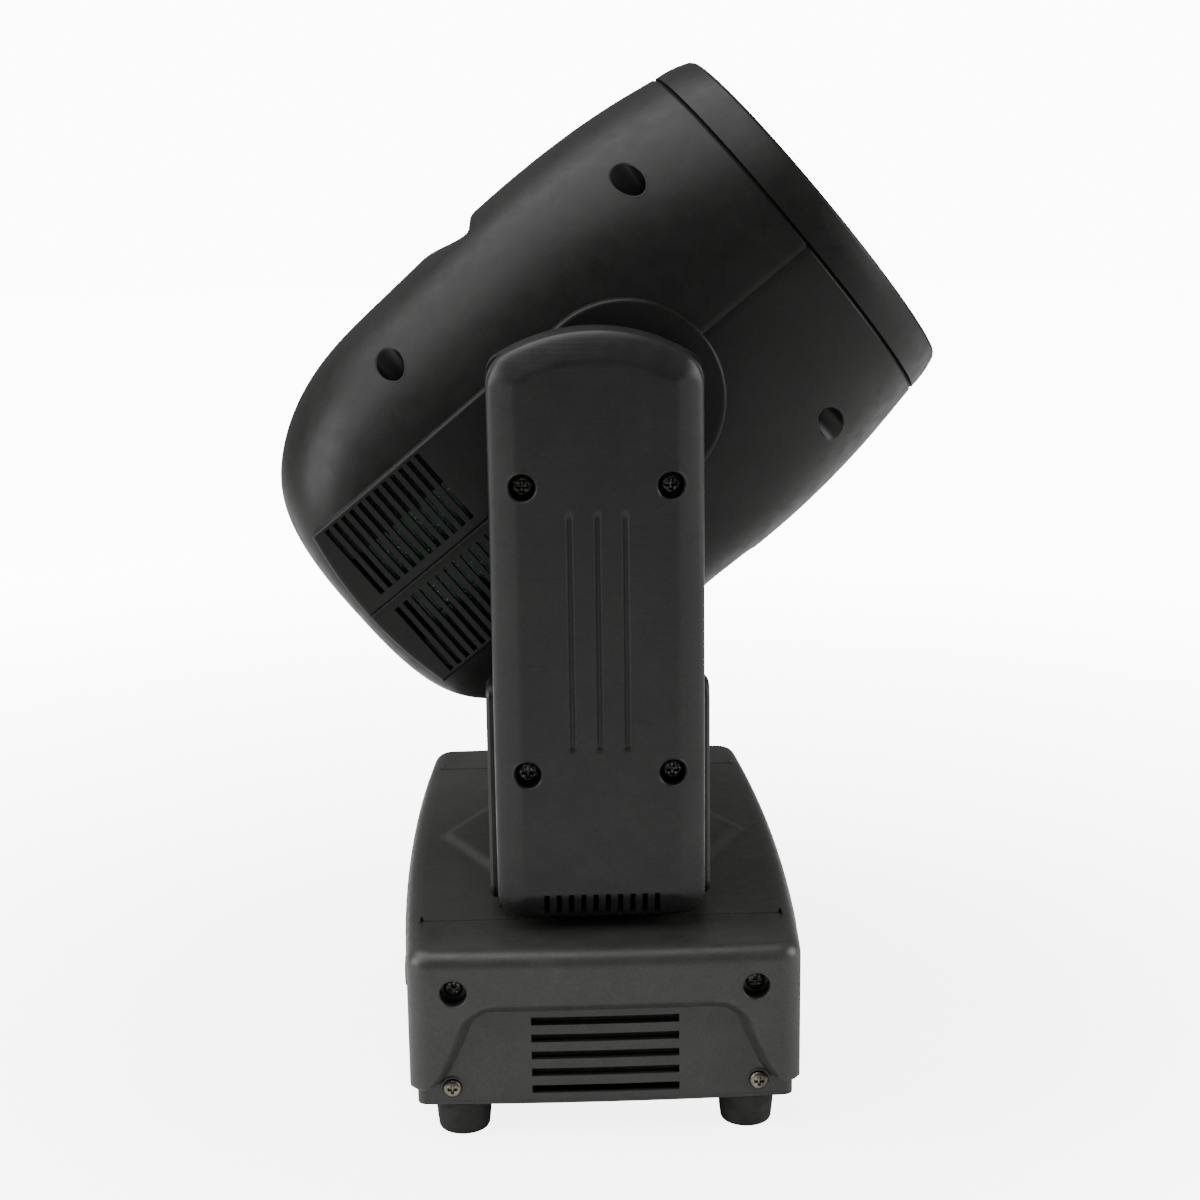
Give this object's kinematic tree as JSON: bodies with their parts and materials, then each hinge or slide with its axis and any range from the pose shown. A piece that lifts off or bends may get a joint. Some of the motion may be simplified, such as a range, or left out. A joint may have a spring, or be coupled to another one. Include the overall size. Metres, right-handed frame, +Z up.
{
  "type": "moving head light",
  "caption": "Moving head stage light: a ventilated head tilts between two arched arms of a yoke, and the yoke pans on a flat base with feet, display and sockets.",
  "frame": {"origin": "middle of the base on the plane that the feet stand on; the pan axis is the Z axis", "axes": "+Z up, +Y along the base from the near arm to the far arm, +X towards the side that the head leans to at rest"},
  "size_m": [0.3445, 0.345, 0.515],
  "materials": {
    "base_plastic": "moulded, matt",
    "arm_plastic": "moulded, satin",
    "head_plastic": "moulded, fine grain",
    "painted_steel": "powder coat",
    "fan_plastic": "moulded",
    "carrier_plastic": "moulded",
    "zinc_sheet": "zinc plated sheet",
    "zinc_steel": "zinc plated",
    "black_screws": "black oxide",
    "machined_aluminium": "machined",
    "motor_steel": "black lacquer",
    "black_rubber": "matt",
    "green_board": "solder mask",
    "white_board": "white solder mask",
    "display_glass": "clear window over a dark display",
    "socket_plastic": "moulded",
    "power_socket_plastic": "moulded",
    "lens_glass": "clear",
    "button_rubber": "satin"
  },
  "bodies": {
    "base": {"lower_case": "base_plastic", "bottom_plate": "painted_steel", "bracket_sockets": "zinc_steel", "feet": "black_rubber", "top_cover": "base_plastic", "end_cap_near": "base_plastic", "end_cap_far": "base_plastic", "display_panel": "base_plastic", "display_window": "display_glass", "display_board": "green_board", "connector_panel": "base_plastic", "power_sockets": "power_socket_plastic", "data_sockets": "socket_plastic", "fuse_holder": "socket_plastic", "safety_eye": "zinc_steel", "base_screws": "zinc_steel", "turret_plate": "painted_steel", "pan_bearing": "zinc_steel", "pan_motor": "motor_steel", "pan_belt": "black_rubber", "power_supply": "zinc_sheet", "main_board": "green_board"},
    "pan_motor_pulley": {"pan_motor_pulley": "machined_aluminium"},
    "yoke": {"yoke_base_plate": "painted_steel", "yoke_arm_plates": "painted_steel", "yoke_saddle_cover": "arm_plastic", "yoke_trim_front": "arm_plastic", "yoke_trim_back": "arm_plastic", "arm_cover_outer_near": "arm_plastic", "arm_cover_outer_far": "arm_plastic", "arm_cover_inner_near": "arm_plastic", "arm_cover_inner_far": "arm_plastic", "arm_cover_screws": "black_screws", "pan_shaft": "machined_aluminium", "pan_pulley": "machined_aluminium", "tilt_motor": "motor_steel", "tilt_belt": "black_rubber", "tilt_bearings": "zinc_steel"},
    "tilt_motor_pulley": {"tilt_motor_pulley": "machined_aluminium"},
    "head": {"upper_shell": "head_plastic", "lower_shell": "head_plastic", "shell_screws": "black_screws", "front_ring": "head_plastic", "tilt_hubs": "machined_aluminium", "tilt_pulley": "machined_aluminium", "head_bulkhead": "painted_steel", "heat_sink": "machined_aluminium", "led_board": "white_board", "zoom_rods": "zinc_steel", "zoom_motor": "motor_steel", "head_fan_frame": "fan_plastic", "head_board": "green_board"},
    "zoom": {"zoom_carrier": "carrier_plastic", "lenses": "lens_glass"},
    "lead_screw": {"lead_screw": "zinc_steel"},
    "head_fan": {"head_fan_rotor": "fan_plastic"},
    "menu_button_1": {"menu_button_1": "button_rubber"},
    "menu_button_2": {"menu_button_2": "button_rubber"},
    "menu_button_3": {"menu_button_3": "button_rubber"},
    "menu_button_4": {"menu_button_4": "button_rubber"}
  },
  "joints": [
    {"name": "pan", "type": "hinge", "parent": "base", "child": "yoke", "pos_m": [0, 0, 0.1], "axis": [0, 0, 1], "range_deg": [-270, 270]},
    {"name": "tilt", "type": "hinge", "parent": "yoke", "child": "head", "pos_m": [0, 0, 0.34], "axis": [0, 1, 0], "range_deg": [-185.3, 84.7]},
    {"name": "zoom", "type": "slide", "parent": "head", "child": "zoom", "axis": [0.7694, 0, 0.6388], "range_m": [-0.024, 0.022]},
    {"name": "lead_screw_spin", "type": "hinge", "parent": "head", "child": "lead_screw", "pos_m": [0.09831, 0.07881, 0.36248], "axis": [0.7694, 0, 0.6388], "range_deg": [-1100, 1010]},
    {"name": "pan_motor_spin", "type": "hinge", "parent": "base", "child": "pan_motor_pulley", "pos_m": [0, 0.104, 0.08], "axis": [0, 0, 1], "range_deg": [-1565, 1565]},
    {"name": "tilt_motor_spin", "type": "hinge", "parent": "yoke", "child": "tilt_motor_pulley", "pos_m": [0, -0.113, 0.205], "axis": [0, 1, 0], "range_deg": [-705, 325]},
    {"name": "head_fan_spin", "type": "hinge", "parent": "head", "child": "head_fan", "pos_m": [-0.00769, 0, 0.33361], "axis": [0.7694, 0, 0.6388], "continuous": true},
    {"name": "menu_button_1_press", "type": "slide", "parent": "base", "child": "menu_button_1", "axis": [-1, 0, 0], "range_m": [0, 0.0015], "stiffness_N_per_m": 600},
    {"name": "menu_button_2_press", "type": "slide", "parent": "base", "child": "menu_button_2", "axis": [-1, 0, 0], "range_m": [0, 0.0015], "stiffness_N_per_m": 600},
    {"name": "menu_button_3_press", "type": "slide", "parent": "base", "child": "menu_button_3", "axis": [-1, 0, 0], "range_m": [0, 0.0015], "stiffness_N_per_m": 600},
    {"name": "menu_button_4_press", "type": "slide", "parent": "base", "child": "menu_button_4", "axis": [-1, 0, 0], "range_m": [0, 0.0015], "stiffness_N_per_m": 600}
  ],
  "couplings": [
    {"joint": "lead_screw_spin", "follows": "zoom", "rad_per_m": 785.4},
    {"joint": "pan_motor_spin", "follows": "pan", "ratio": 5.7778},
    {"joint": "tilt_motor_spin", "follows": "tilt", "ratio": 3.7778}
  ]
}
